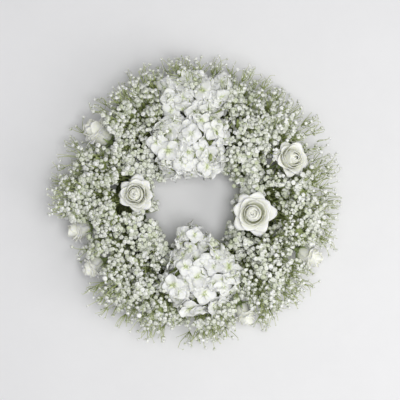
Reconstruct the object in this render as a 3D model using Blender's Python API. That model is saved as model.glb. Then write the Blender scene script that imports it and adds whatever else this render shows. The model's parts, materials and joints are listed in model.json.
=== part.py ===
"""Oversize flower crown, modelled the way it comes apart on a florist's bench.

A flat wire frame of two hoops, held apart by five crimped straps, carries a padded core that a
binding wire wraps round. A backing ring closes the underside. Eight roses and four hydrangea heads
stand in the core on their own stems, and sixteen bunches of baby's breath fill the rest. Each rose
nods at its neck, where the calyx meets the stem.

Metres, +Z up. The crown lies flat: its axis is Z, and the backing ring's underside is at Z 0.
Azimuth 0 is +X and 90 is +Y. "Out" is measured from the middle line of the padded core, and "up"
from the core's top, so that every flower follows the frame when the frame's size changes.
"""

import math
from collections import namedtuple

import bmesh
import bpy
from mathutils import Matrix, Vector

# The wire frame.
HEAD_HOOP_RADIUS = 0.095  # middle line of the inner hoop, for an adult head
FRAME_WIDTH = 0.038  # from the inner hoop to the outer one
HOOP_WIRE = 0.003  # diameter
STRAP_WIDTH = 0.008
STRAP_THICKNESS = 0.0008
STRAP_COUNT = 5

# The padded core, its backing and its binding.
CORE_OVERHANG = 0.002  # past each hoop's middle line
CORE_HEIGHT = 0.032
CORE_WALL = 0.006  # the short upright foot below the rounded top
BACKING_THICKNESS = 0.002
BACKING_OVERHANG = 0.0025  # past the binding wire
BINDING_WIRE = 0.001  # diameter
BINDING_TURNS = 20

# Stems.
ROSE_STEM = 0.0044  # diameter
HYDRANGEA_STEM = 0.0056
STEM_DEPTH = 0.003  # the buried end stops this far from the core's middle line

# Roses, measured along the flower's own axis from its neck.
KNOB_RADIUS = 0.0035  # the ball under the calyx that the flower nods on
RECEPTACLE = 0.008  # neck to the foot of the petals
SEPAL_THICKNESS = 0.0008
NOD = 12  # degrees, each way

# Clearances.
CLEARANCE = 0.0003  # between hard pieces
PETAL_CLEARANCE = 0.0006  # between the calyx and the petals
BINDING_CLEARANCE = 0.0005
SOFT_CLEARANCE = 0.001  # between one mass of flowers and the next
FLOOR_CLEARANCE = 0.003  # the lowest bunches hang this far above the table

# How finely round shapes are cut.
RING_STEPS = 60
CORE_ARC_STEPS = 8
PETAL_STEPS = 15  # three for each of the five sepals
SEPAL_COUNT = 5
STEM_STEPS = 6
ARC_STEP = 30  # degrees, round a hoop
WELD = 0.0003
HULL_ROUNDS = 60

# Worked out from the sizes above.
OUTER_HOOP_RADIUS = HEAD_HOOP_RADIUS + FRAME_WIDTH
RING_MIDDLE = HEAD_HOOP_RADIUS + FRAME_WIDTH / 2
STRAP_BEND = HOOP_WIRE / 2 + CLEARANCE + STRAP_THICKNESS / 2
UNDER_HOOP = max(STRAP_BEND + STRAP_THICKNESS / 2, BINDING_WIRE + CLEARANCE + HOOP_WIRE / 2)
HOOP_HEIGHT = BACKING_THICKNESS + CLEARANCE + UNDER_HOOP
CORE_FOOT = HOOP_HEIGHT + STRAP_BEND + STRAP_THICKNESS / 2 + CLEARANCE
CORE_SHOULDER = CORE_FOOT + CORE_WALL
CORE_TOP = CORE_FOOT + CORE_HEIGHT
CORE_HALF_WIDTH = FRAME_WIDTH / 2 + CORE_OVERHANG
CORE_HEART = CORE_FOOT + CORE_HEIGHT / 2 - STEM_DEPTH  # height that every stem aims away from
BINDING_GROWTH = BINDING_CLEARANCE + BINDING_WIRE / 2
BINDING_FOOT = BACKING_THICKNESS + CLEARANCE + BINDING_WIRE / 2
BOUND_HALF_WIDTH = CORE_HALF_WIDTH + BINDING_CLEARANCE + BINDING_WIRE
BOUND_TOP = CORE_TOP + BINDING_CLEARANCE + BINDING_WIRE
BINDING_PITCH = 360 / BINDING_TURNS

# A flower: where its neck is, how far it leans outwards from upright, and its petals' size.
Rose = namedtuple("Rose", "name azimuth out up lean radius length")
ROSES = [
    Rose("upper_left", 144.7, 0.057, 0.0135, 75, 0.028, 0.050),
    Rose("left", 172.6, -0.019, 0.0200, 10, 0.030, 0.040),
    Rose("right", -11.3, -0.014, 0.0230, -4, 0.036, 0.038),
    Rose("upper_right", 24.6, 0.048, 0.0155, 28, 0.030, 0.040),
    Rose("lower_right", -25.2, 0.072, 0.0030, 80, 0.024, 0.042),
    Rose("far_left", 193.5, 0.062, 0.0040, 78, 0.023, 0.040),
    Rose("lower_left", 212.5, 0.065, 0.0000, 80, 0.022, 0.038),
    Rose("bottom", -66.3, 0.068, 0.0000, 80, 0.022, 0.038),
]

# The petals' outline, as shares of the bloom's radius and length: up the outside to the lip, then
# over two whorls of petals to the heart.
PETAL_FOOT = [(0.30, 0.00), (0.86, 0.38)]
PETAL_LIP = [(0.97, 0.64), (1.00, 0.86), (0.92, 0.96)]
PETAL_WHORLS = [(0.70, 0.80), (0.54, 0.94), (0.38, 0.84), (0.18, 1.00)]
SEPAL_REACH = PETAL_FOOT[1][1]  # sepals lie on the straight-sided foot of the petals
SEPAL_LOBES = [1.0, 0.35, 0.35]  # a tip, then the notch beside it

# A mass of flowers: its middle, its half sizes along the ring, outwards and upwards.
Mass = namedtuple("Mass", "name azimuth out up along_size out_size up_size")
HYDRANGEAS = [
    Mass("top_back", 91.0, 0.059, 0.030, 0.066, 0.047, 0.042),
    Mass("top_front", 96.7, -0.017, 0.045, 0.072, 0.056, 0.034),
    Mass("bottom", -88.6, 0.014, 0.040, 0.068, 0.062, 0.040),
    Mass("inner", -94.8, -0.056, 0.054, 0.026, 0.021, 0.018),
]
HYDRANGEA_SEAT = 0.55  # share of the up size from a head's middle down to where its stem enters

# Bunches that lie beside the core and spread over the table.
OUTER_BUNCHES = [
    Mass("01", 0.0, 0.074, 0.014, 0.058, 0.062, 0.050),
    Mass("02", 46.0, 0.072, 0.016, 0.050, 0.062, 0.052),
    Mass("03", 66.0, 0.078, 0.012, 0.046, 0.056, 0.048),
    Mass("04", 90.0, 0.102, -0.006, 0.060, 0.034, 0.030),
    Mass("05", 121.0, 0.076, 0.014, 0.056, 0.060, 0.050),
    Mass("06", 160.0, 0.074, 0.014, 0.044, 0.060, 0.050),
    Mass("07", 178.0, 0.074, 0.012, 0.044, 0.062, 0.048),
    Mass("08", 203.0, 0.064, 0.012, 0.032, 0.052, 0.046),
    Mass("09", 232.0, 0.072, 0.014, 0.052, 0.061, 0.050),
    Mass("10", 252.0, 0.076, 0.010, 0.046, 0.058, 0.046),
    Mass("11", 272.0, 0.104, -0.006, 0.056, 0.032, 0.030),
    Mass("12", 314.0, 0.074, 0.014, 0.060, 0.062, 0.050),
]
# Bunches that sit on top of the core and lean over the opening.
UPPER_BUNCHES = [
    Mass("13", 12.0, 0.010, 0.032, 0.034, 0.034, 0.032),
    Mass("14", 47.0, 0.000, 0.036, 0.044, 0.048, 0.036),
    Mass("15", 143.0, 0.000, 0.036, 0.044, 0.048, 0.036),
    Mass("16", 202.0, -0.002, 0.036, 0.042, 0.048, 0.036),
    Mass("17", 231.0, -0.002, 0.036, 0.042, 0.048, 0.036),
    Mass("18", 317.0, -0.002, 0.036, 0.048, 0.048, 0.036),
]

FINISHES = {  # colour, roughness, metallic
    "moss": ((0.10, 0.12, 0.05), 0.95, 0.0),
    "backing": ((0.07, 0.11, 0.06), 0.60, 0.0),
    "hoop_wire": ((0.30, 0.31, 0.30), 0.40, 1.0),
    "binding_wire": ((0.10, 0.15, 0.08), 0.50, 0.6),
    "stem_green": ((0.36, 0.43, 0.20), 0.60, 0.0),
    "calyx_green": ((0.33, 0.42, 0.18), 0.55, 0.0),
    "rose_petal": ((0.90, 0.90, 0.83), 0.50, 0.0),
    "hydrangea_petal": ((0.89, 0.90, 0.88), 0.50, 0.0),
    "babys_breath": ((0.82, 0.85, 0.76), 0.70, 0.0),
}


def clear_scene():
    for old in list(bpy.data.objects):
        bpy.data.objects.remove(old)


def finish(name):
    """The named material, made the first time it is asked for."""
    made = bpy.data.materials.get(name)
    if made:
        return made
    colour, roughness, metallic = FINISHES[name]
    made = bpy.data.materials.new(name)
    made.use_nodes = True
    shader = made.node_tree.nodes["Principled BSDF"]
    shader.inputs["Base Color"].default_value = (*colour, 1.0)
    shader.inputs["Roughness"].default_value = roughness
    shader.inputs["Metallic"].default_value = metallic
    made.diffuse_color = (*colour, 1.0)
    return made


def add_object(name, data, finish_name, place=None, parent=None):
    """A new object with its material. place is its matrix in the world, or in its parent."""
    made = bpy.data.objects.new(name, data)
    bpy.context.scene.collection.objects.link(made)
    made.data.materials.append(finish(finish_name))
    made.parent = parent
    if place:
        made.matrix_basis = place
    return made


def mesh_of(name, bm):
    """A mesh from a bmesh, with its faces turned outwards."""
    bmesh.ops.recalc_face_normals(bm, faces=bm.faces)
    mesh = bpy.data.meshes.new(name)
    bm.to_mesh(mesh)
    bm.free()
    return mesh


def directions(azimuth):
    """Unit vectors outwards, along the ring and up at this azimuth, which is in degrees."""
    angle = math.radians(azimuth)
    out = Vector((math.cos(angle), math.sin(angle), 0))
    along = Vector((-math.sin(angle), math.cos(angle), 0))
    return out, along, Vector((0, 0, 1))


def ring_point(azimuth, radius, height):
    out, _, up = directions(azimuth)
    return out * radius + up * height


def turned(name, outline, finish_name):
    """A closed (radius, height) outline spun all the way round the crown's axis."""
    bm = bmesh.new()
    corners = [bm.verts.new((radius, 0, height)) for radius, height in outline]
    edges = [bm.edges.new(pair) for pair in zip(corners, corners[1:] + corners[:1])]
    bmesh.ops.spin(
        bm, geom=corners + edges, cent=(0, 0, 0), axis=(0, 0, 1), angle=2 * math.pi, steps=RING_STEPS
    )
    bmesh.ops.remove_doubles(bm, verts=bm.verts, dist=WELD / 10)
    mesh = mesh_of(name, bm)
    mesh.shade_smooth()
    mesh.set_sharp_from_angle(angle=math.radians(40))
    return add_object(name, mesh, finish_name)


def tube(name, points, diameter, finish_name, sides, cyclic=False):
    """Round wire or a stem along these points."""
    curve = bpy.data.curves.new(name, "CURVE")
    curve.dimensions = "3D"
    curve.bevel_depth = diameter / 2
    curve.bevel_resolution = (sides - 4) // 2
    curve.use_fill_caps = not cyclic
    spline = curve.splines.new("POLY")
    spline.points.add(len(points) - 1)
    for knot, point in zip(spline.points, points):
        knot.co = (*point, 1)
    spline.use_cyclic_u = cyclic
    return add_object(name, curve, finish_name)


def lofted(name, rings, finish_name, place=None, parent=None):
    """A closed skin through a stack of rings of equal count, with a flat face on each end."""
    bm = bmesh.new()
    loops = [[bm.verts.new(point) for point in ring] for ring in rings]
    for lower, upper in zip(loops, loops[1:]):
        for i in range(len(lower)):
            j = (i + 1) % len(lower)
            bm.faces.new((lower[i], lower[j], upper[j], upper[i]))
    bm.faces.new(loops[0])
    bm.faces.new(loops[-1])
    mesh = mesh_of(name, bm)
    mesh.shade_smooth()
    return add_object(name, mesh, finish_name, place, parent)


# The frame.


def make_hoop(name, radius):
    points = [ring_point(i * 360 / RING_STEPS, radius, HOOP_HEIGHT) for i in range(RING_STEPS)]
    return tube(name, points, HOOP_WIRE, "hoop_wire", sides=6, cyclic=True)


def strap_outline():
    """The (radius, height) outline of a strap: under the inner hoop, over both, under the outer."""
    line = []
    for hoop, start in ((HEAD_HOOP_RADIUS, 270), (OUTER_HOOP_RADIUS, 90)):
        for turn in range(0, 180 + ARC_STEP, ARC_STEP):
            angle = math.radians(start - turn)
            line.append((hoop, Vector((math.cos(angle), math.sin(angle)))))
    sides = []
    for offset in (STRAP_THICKNESS / 2, -STRAP_THICKNESS / 2):
        reach = STRAP_BEND + offset
        sides.append([(hoop + way.x * reach, HOOP_HEIGHT + way.y * reach) for hoop, way in line])
    return sides[0] + sides[1][::-1]


def make_strap(number):
    """A flat strap crimped round both hoops, midway between two turns of the binding wire."""
    spacing = BINDING_TURNS // STRAP_COUNT
    azimuth = ((number - 1) * spacing + 0.5) * BINDING_PITCH
    out, along, up = directions(azimuth)
    bm = bmesh.new()
    side = -along * STRAP_WIDTH / 2
    corners = [bm.verts.new(out * radius + up * height + side) for radius, height in strap_outline()]
    face = bm.faces.new(corners)
    moved = bmesh.ops.extrude_face_region(bm, geom=[face])["geom"]
    new_corners = [item for item in moved if isinstance(item, bmesh.types.BMVert)]
    bmesh.ops.translate(bm, verts=new_corners, vec=along * STRAP_WIDTH)
    name = f"frame_strap_{number}"
    return add_object(name, mesh_of(name, bm), "hoop_wire")


def core_arc(growth=0.0):
    """The rounded top of the core's section, from its outer shoulder to its inner one."""
    half, rise = CORE_HALF_WIDTH + growth, CORE_TOP - CORE_SHOULDER + growth
    angles = [math.pi * i / CORE_ARC_STEPS for i in range(CORE_ARC_STEPS + 1)]
    return [(RING_MIDDLE + half * math.cos(a), CORE_SHOULDER + rise * math.sin(a)) for a in angles]


def with_feet(arc, foot):
    """A section's arc carried straight down to this height at both ends."""
    return [(arc[0][0], foot), *arc, (arc[-1][0], foot)]


def make_core(stem_holes):
    """The padded core, drilled for every stem."""
    core = turned("core_padding", with_feet(core_arc(), CORE_FOOT), "moss")
    for hole in stem_holes:
        cut = core.modifiers.new(hole.name, "BOOLEAN")
        cut.operation = "DIFFERENCE"
        cut.object = hole
    return core


def make_binding():
    """One wire wound round core and frame, which steps to its next turn underneath."""
    section = with_feet(core_arc(BINDING_GROWTH), BINDING_FOOT)
    points = [
        ring_point(turn * BINDING_PITCH, radius, height)
        for turn in range(BINDING_TURNS)
        for radius, height in section
    ]
    return tube("binding_wire", points, BINDING_WIRE, "binding_wire", sides=4)


def make_backing():
    inner = RING_MIDDLE - BOUND_HALF_WIDTH - BACKING_OVERHANG
    outer = RING_MIDDLE + BOUND_HALF_WIDTH + BACKING_OVERHANG
    outline = [(inner, 0), (outer, 0), (outer, BACKING_THICKNESS), (inner, BACKING_THICKNESS)]
    return turned("backing_ring", outline, "backing")


# Stems, which leave the core's heart in a straight line and then bend to the flower.


def between_turns(azimuth, diameter):
    """The azimuth nearest to this one where a stem clears the turns of the binding wire."""
    room = math.degrees((diameter + BINDING_WIRE + CLEARANCE) / HEAD_HOOP_RADIUS)
    turn = math.floor(azimuth / BINDING_PITCH) * BINDING_PITCH
    return min(max(azimuth, turn + room), turn + BINDING_PITCH - room)


def stem_root(azimuth, end, diameter):
    """(heart, way): the point in the core that a stem leaves, and its direction there."""
    heart = ring_point(between_turns(azimuth, diameter), RING_MIDDLE, CORE_HEART)
    return heart, (end - heart).normalized()


def stem_path(root, end, arrival):
    """Points from the buried end, straight through the core's side, then a bend to the end."""
    heart, way = root
    leave = CORE_HALF_WIDTH + CORE_HEIGHT / 4
    start = heart + way * leave
    pull = (end - start).length / 3
    controls = (start, start + way * pull, end - arrival * pull, end)
    bend = []
    for i in range(STEM_STEPS + 1):
        t = i / STEM_STEPS
        shares = ((1 - t) ** 3, 3 * t * (1 - t) ** 2, 3 * t**2 * (1 - t), t**3)
        bend.append(sum((c * share for c, share in zip(controls, shares)), Vector()))
    return [heart + way * STEM_DEPTH, *bend]


def make_stem_hole(name, root, diameter):
    """A cutter from just below the stem's buried end to well outside the core."""
    heart, way = root
    near, far = STEM_DEPTH - CLEARANCE * 2, CORE_HEIGHT * 1.2
    bm = bmesh.new()
    bmesh.ops.create_cone(
        bm,
        cap_ends=True,
        segments=8,
        radius1=diameter / 2 + CLEARANCE * 2,
        radius2=diameter / 2 + CLEARANCE * 2,
        depth=far - near,
    )
    middle = Matrix.Translation(heart + way * (near + far) / 2)
    place = middle @ way.to_track_quat("Z", "Y").to_matrix().to_4x4()
    hole = add_object(name, mesh_of(name, bm), "moss", place)
    hole.hide_render = True
    hole.display_type = "WIRE"
    return hole


# Roses.


def bloom_width(rose, share):
    """The bloom's outer radius at this share of its length, along its straight-sided foot."""
    (narrow, _), (wide, _) = PETAL_FOOT
    return rose.radius * (narrow + (wide - narrow) * share / SEPAL_REACH)


def circle(radius, height):
    """One ring of points, the same count as every ring of a rose."""
    angles = [2 * math.pi * i / PETAL_STEPS for i in range(PETAL_STEPS)]
    return [(radius * math.cos(a), radius * math.sin(a), height) for a in angles]


def bloom_rings(rose):
    outline = PETAL_FOOT + PETAL_LIP + PETAL_WHORLS
    return [circle(rose.radius * r, RECEPTACLE + rose.length * h) for r, h in outline]


def sepal_ring(rose, share, offset):
    """A ring of the calyx's cup, which rises with the sepals' tips and dips between them."""
    ring = []
    for i in range(PETAL_STEPS):
        rise = share * SEPAL_REACH * SEPAL_LOBES[i % len(SEPAL_LOBES)]
        radius = bloom_width(rose, rise) + offset
        angle = 2 * math.pi * i / PETAL_STEPS
        height = RECEPTACLE + rise * rose.length - PETAL_CLEARANCE
        ring.append((radius * math.cos(angle), radius * math.sin(angle), height))
    return ring


def calyx_rings(rose):
    """Up the ball and the cup's outside to the sepals' tips, and back down its inside."""
    ball = [circle(KNOB_RADIUS * math.sin(a), -KNOB_RADIUS * math.cos(a)) for a in (0.4, 1.0, 1.6)]
    outside, inside = PETAL_CLEARANCE + SEPAL_THICKNESS, PETAL_CLEARANCE
    cup = [sepal_ring(rose, share, outside) for share in (0.0, 1.0)]
    lining = [sepal_ring(rose, share, inside) for share in (1.0, 0.0)]
    waist = circle((KNOB_RADIUS + bloom_width(rose, 0)) / 2, RECEPTACLE / 2)
    return [*ball, waist, *cup, *lining]


def rose_place(rose):
    """The matrix that puts a rose's neck in place, with Z along the flower and Y on its hinge."""
    out, along, up = directions(rose.azimuth)
    lean = math.radians(rose.lean)
    facing = out * math.sin(lean) + up * math.cos(lean)
    turn = Matrix((along.cross(facing), along, facing)).transposed().to_4x4()
    neck = ring_point(rose.azimuth, RING_MIDDLE + rose.out, CORE_TOP + rose.up)
    return Matrix.Translation(neck) @ turn


def make_rose(rose):
    """(stem hole, points that the rose can reach as it nods) of one rose."""
    name = f"rose_{rose.name}"
    place = rose_place(rose)
    neck = bpy.data.objects.new(f"{name}_neck", None)
    bpy.context.scene.collection.objects.link(neck)
    neck.matrix_basis = place
    lofted(f"{name}_bloom", bloom_rings(rose), "rose_petal", parent=neck)
    lofted(f"{name}_calyx", calyx_rings(rose), "calyx_green", parent=neck)
    facing = place.col[2].xyz
    end = place.translation - facing * (KNOB_RADIUS + CLEARANCE * 2)
    root = stem_root(rose.azimuth, end, ROSE_STEM)
    path = stem_path(root, end, facing)
    tube(f"{name}_stem", path, ROSE_STEM, "stem_green", sides=6)
    flower = [Vector(point) for ring in bloom_rings(rose) + calyx_rings(rose) for point in ring]
    swings = [Matrix.Rotation(math.radians(angle), 4, "Y") for angle in (-NOD, 0, NOD)]
    reached = [place @ swing @ point for swing in swings for point in flower]
    hole = make_stem_hole(f"{name}_stem_hole", root, ROSE_STEM)
    return hole, reached + thickened(path, ROSE_STEM)


def thickened(path, diameter):
    """Points round a path, far enough out to stand for the tube."""
    reach = diameter / 2
    ways = [Vector(way) for way in ((reach, 0, 0), (0, reach, 0), (0, 0, reach))]
    return [point + way * sign for point in path for way in ways for sign in (1, -1)]


# Masses of flowers: ellipsoids cut flat wherever a neighbour needs the room.


def mass_middle(mass):
    return ring_point(mass.azimuth, RING_MIDDLE + mass.out, CORE_TOP + mass.up)


def mass_axes(mass):
    """The half sizes as three vectors in the world."""
    out, along, up = directions(mass.azimuth)
    return along * mass.along_size, out * mass.out_size, up * mass.up_size


def mass_reach(mass, way):
    """How far the whole ellipsoid reaches from its middle along this unit vector."""
    return math.sqrt(sum(axis.dot(way) ** 2 for axis in mass_axes(mass)))


def cut_between(mass, other):
    """(point, normal) of the plane that parts two masses, nearer to the smaller one."""
    middle, far = mass_middle(mass), mass_middle(other)
    way = (far - middle).normalized()
    own, theirs = mass_reach(mass, way), mass_reach(other, way)
    parting = (far - middle).length * own / (own + theirs)
    return middle + way * (parting - SOFT_CLEARANCE / 2), way


def cut_from_points(mass, points):
    """(point, normal) of the plane that leaves all these points on its far side.

    It lies square to the shortest line from the mass's middle to the points' convex hull. The line's
    end starts at the nearest point and slides towards whichever point lies furthest back.
    """
    middle = mass_middle(mass)
    end = min(points, key=lambda point: (point - middle).length)
    for _ in range(HULL_ROUNDS):
        back = min(points, key=lambda point: point.dot(end - middle))
        slide = back - end
        if slide.length < WELD:
            break
        share = -slide.dot(end - middle) / slide.length_squared
        end = end + slide * min(max(share, 0), 1)
    way = (end - middle).normalized()
    reach = min((point - middle).dot(way) for point in points)
    return middle + way * (reach - SOFT_CLEARANCE), way


def cut_from_core(mass):
    """Bunches beside the core stay outside it, and the rest stay above it."""
    out, _, up = directions(mass.azimuth)
    if mass in OUTER_BUNCHES:
        return out * (RING_MIDDLE + BOUND_HALF_WIDTH + SOFT_CLEARANCE), -out
    return up * (BOUND_TOP + SOFT_CLEARANCE), -up


def cut_for_seat(head):
    """The flat underside of a hydrangea head, where its stem comes in."""
    heart = ring_point(head.azimuth, RING_MIDDLE, CORE_HEART)
    way = (mass_middle(head) - heart).normalized()
    return mass_middle(head) - way * head.up_size * HYDRANGEA_SEAT, -way


def make_mass(name, mass, cuts, finish_name):
    middle = mass_middle(mass)
    shape = Matrix(mass_axes(mass)).transposed().to_4x4()
    bm = bmesh.new()
    bmesh.ops.create_icosphere(bm, subdivisions=2, radius=1.0, matrix=shape)
    bm.transform(Matrix.Translation(middle))
    for point, normal in cuts:
        everything = [*bm.verts, *bm.edges, *bm.faces]
        bmesh.ops.bisect_plane(
            bm, geom=everything, plane_co=point, plane_no=normal, clear_outer=True
        )
        rim = [edge for edge in bm.edges if edge.is_boundary]
        bmesh.ops.holes_fill(bm, edges=rim, sides=0)
    bmesh.ops.remove_doubles(bm, verts=bm.verts, dist=WELD)
    bm.transform(Matrix.Translation(-middle))
    return add_object(name, mesh_of(name, bm), finish_name, Matrix.Translation(middle))


def make_hydrangea_stem(head):
    """(stem hole, points of the stem) of one hydrangea head."""
    seat, down = cut_for_seat(head)
    end = seat + down * CLEARANCE * 2
    root = stem_root(head.azimuth, end, HYDRANGEA_STEM)
    path = stem_path(root, end, -down)
    name = f"hydrangea_{head.name}_stem"
    tube(name, path, HYDRANGEA_STEM, "stem_green", sides=6)
    hole = make_stem_hole(f"{name}_hole", root, HYDRANGEA_STEM)
    return hole, thickened(path, HYDRANGEA_STEM)


def make_flowers():
    """Every rose, head and bunch. Returns the holes that their stems need in the core."""
    roses = [make_rose(rose) for rose in ROSES]
    stems = [make_hydrangea_stem(head) for head in HYDRANGEAS]
    masses = HYDRANGEAS + OUTER_BUNCHES + UPPER_BUNCHES
    for mass in masses:
        is_head = mass in HYDRANGEAS
        cuts = [cut_from_core(mass), (Vector((0, 0, FLOOR_CLEARANCE)), Vector((0, 0, -1)))]
        cuts += [cut_between(mass, other) for other in masses if other is not mass]
        cuts += [cut_from_points(mass, points) for _, points in roses]
        for head, (_, points) in zip(HYDRANGEAS, stems):
            cuts.append(cut_for_seat(head) if head is mass else cut_from_points(mass, points))
        name = f"hydrangea_{mass.name}_head" if is_head else f"babys_breath_bunch_{mass.name}"
        make_mass(name, mass, cuts, "hydrangea_petal" if is_head else "babys_breath")
    return [hole for hole, _ in roses + stems]


def main():
    clear_scene()
    make_backing()
    make_hoop("inner_hoop", HEAD_HOOP_RADIUS)
    make_hoop("outer_hoop", OUTER_HOOP_RADIUS)
    for number in range(1, STRAP_COUNT + 1):
        make_strap(number)
    make_binding()
    make_core(make_flowers())


main()
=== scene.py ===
# %% [markdown]
# # A full flower crown, petal by petal
#
# The crown lies on a table: cream roses, white hydrangea heads and a cloud of baby's breath stand
# in a padded ring. The measured frame comes first. It holds every solid at its real place, in
# metres, and the hinges that the roses nod on. Each cell below then grows real flowers in the
# space that one kind of solid keeps for them.

# %% Load the measured frame
import json
import math
from collections import namedtuple

import bpy
import numpy as np
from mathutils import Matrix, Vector


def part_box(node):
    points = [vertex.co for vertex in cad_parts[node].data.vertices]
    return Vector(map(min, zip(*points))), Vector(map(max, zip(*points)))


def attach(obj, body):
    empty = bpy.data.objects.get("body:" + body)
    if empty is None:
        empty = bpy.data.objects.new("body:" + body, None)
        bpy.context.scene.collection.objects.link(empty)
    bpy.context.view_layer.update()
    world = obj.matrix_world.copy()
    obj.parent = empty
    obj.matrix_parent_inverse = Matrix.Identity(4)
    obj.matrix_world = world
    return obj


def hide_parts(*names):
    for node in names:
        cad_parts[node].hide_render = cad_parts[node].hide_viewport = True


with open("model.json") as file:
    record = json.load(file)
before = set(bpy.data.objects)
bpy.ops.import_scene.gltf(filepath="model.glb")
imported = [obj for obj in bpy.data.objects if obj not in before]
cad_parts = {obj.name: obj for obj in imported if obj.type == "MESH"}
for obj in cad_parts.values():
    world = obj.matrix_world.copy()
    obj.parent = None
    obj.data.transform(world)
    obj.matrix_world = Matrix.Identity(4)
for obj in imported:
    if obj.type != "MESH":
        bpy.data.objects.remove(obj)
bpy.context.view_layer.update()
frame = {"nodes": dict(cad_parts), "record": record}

nodes = frame["nodes"]

# %% [markdown]
# ## How every surface is made
#
# A petal, a leaf or a twig is a sheet of points worked out from two numbers, so each is a numpy
# array rather than a modelled mesh. Copies of one small shape are made the same way: turn, scale
# and move its points for all the copies at once. A hundred thousand petals take a second or two,
# where a loop over vertices would take minutes.

# %% Meshes from arrays
Shape = namedtuple("Shape", "points faces tint")


def joined(shapes):
    """One shape from several: points are stacked, and each face's numbers move up to match."""
    starts = np.cumsum([0] + [len(shape.points) for shape in shapes[:-1]])
    faces = [face + start for shape, start in zip(shapes, starts) for face in shape.faces]
    points = np.concatenate([shape.points for shape in shapes])
    return Shape(points, faces, np.concatenate([shape.tint for shape in shapes]))


def make_piece(name, shape, finish, body, stands_for=()):
    """A named object from a shape. Its tint goes along as a value on each point."""
    corners = np.concatenate([face.ravel() for face in shape.faces]).astype(np.int32)
    sizes = np.concatenate([np.full(len(face), face.shape[1]) for face in shape.faces])
    mesh = bpy.data.meshes.new(name)
    mesh.vertices.add(len(shape.points))
    mesh.vertices.foreach_set("co", shape.points.ravel())
    mesh.loops.add(len(corners))
    mesh.loops.foreach_set("vertex_index", corners)
    mesh.polygons.add(len(sizes))
    mesh.polygons.foreach_set("loop_start", np.concatenate([[0], np.cumsum(sizes)[:-1]]))
    mesh.update(calc_edges=True)
    mesh.attributes.new("tint", "FLOAT", "POINT").data.foreach_set("value", shape.tint)
    mesh.shade_smooth()
    mesh.materials.append(finish)
    piece = bpy.data.objects.new(name, mesh)
    bpy.context.scene.collection.objects.link(piece)
    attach(piece, body)
    if stands_for:
        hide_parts(*stands_for)


def triangles(shape):
    """How many triangles a shape has: a face of n corners is n - 2 of them."""
    return sum(len(face) * (face.shape[1] - 2) for face in shape.faces)


print("a shape holds:", ", ".join(Shape._fields))


# %% Directions and copies
def unit(vectors):
    """Each vector over its own length."""
    return vectors / np.linalg.norm(vectors, axis=-1, keepdims=True)


def facing(ways, spins):
    """Turns that carry +Z to each way, after a spin about Z.

    x is square to the way and to a fixed helper, y is the way crossed with x, and the spin mixes
    them: x cos s + y sin s, and y cos s - x sin s.
    """
    z = unit(ways)
    helper = np.where(np.abs(z[:, 2:]) < 0.9, [[0.0, 0.0, 1.0]], [[1.0, 0.0, 0.0]])
    x = unit(np.cross(helper, z))
    y = np.cross(z, x)
    cos, sin = np.cos(spins)[:, None], np.sin(spins)[:, None]
    return np.stack([x * cos + y * sin, y * cos - x * sin, z], axis=2)


def repeated(faces, count, corners):
    """Faces for count copies: each copy's corner numbers start where the last one's ended."""
    step = (np.arange(count) * corners)[:, None, None]
    return [(face[None] + step).reshape(-1, face.shape[1]) for face in faces]


def copies(shape, turns, places, sizes, tints):
    """Every copy of a shape: turn times point, times size, plus place. Tints are added up."""
    turned = np.einsum("nij,vj->nvi", turns, shape.points) * sizes[:, None, None]
    points = (turned + places[:, None, :]).reshape(-1, 3)
    faces = repeated(shape.faces, len(places), len(shape.points))
    tint = (shape.tint[None] + tints[:, None]).ravel()
    return Shape(points, faces, np.clip(tint, 0, 1))


quarter_turn = facing(np.array([[1.0, 0.0, 0.0]]), np.zeros(1))[0]
print("+Z turned towards +X:", (quarter_turn @ [0.0, 0.0, 1.0]).round(6).tolist())


# %% Thin sheets and twigs
def thin_sheet(sheets, thickness, tint):
    """Closed petals from sheets of points, an array of petals by rows by columns by 3.

    Each side lies half the thickness from the sheet along its normal, the cross product of the
    steps along rows and columns. A band round the edge joins the two sides.
    """
    count, rows, columns, _ = sheets.shape
    normal = unit(np.cross(np.gradient(sheets, axis=1), np.gradient(sheets, axis=2)))
    sides = np.stack([sheets + normal * thickness / 2, sheets - normal * thickness / 2], axis=1)
    grid = np.arange(rows * columns).reshape(rows, columns)
    top = [grid[:-1, :-1], grid[1:, :-1], grid[1:, 1:], grid[:-1, 1:]]
    top = np.stack([part.ravel() for part in top], axis=1)
    edge = np.concatenate([grid[:, 0], grid[-1, 1:], grid[-2::-1, -1], grid[0, -2::-1]])
    under = rows * columns
    band = np.stack([edge[1:], edge[:-1], edge[:-1] + under, edge[1:] + under], axis=1)
    quads = np.concatenate([top, top[:, ::-1] + under, band])
    both = np.broadcast_to(tint[:, None], (count, 2, rows, columns))
    return Shape(sides.reshape(-1, 3), repeated([quads], count, 2 * under), both.ravel())


def tube_faces(rings, sides):
    """The quads of a tube whose points are numbered ring by ring, and the caps at its ends."""
    grid = np.arange(rings * sides).reshape(rings, sides)
    onward = np.roll(grid, -1, axis=1)
    quads = [grid[:-1], onward[:-1], onward[1:], grid[1:]]
    quads = np.stack([part.ravel() for part in quads], axis=1)
    return [quads, np.stack([grid[0, ::-1], grid[-1]])]


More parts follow.
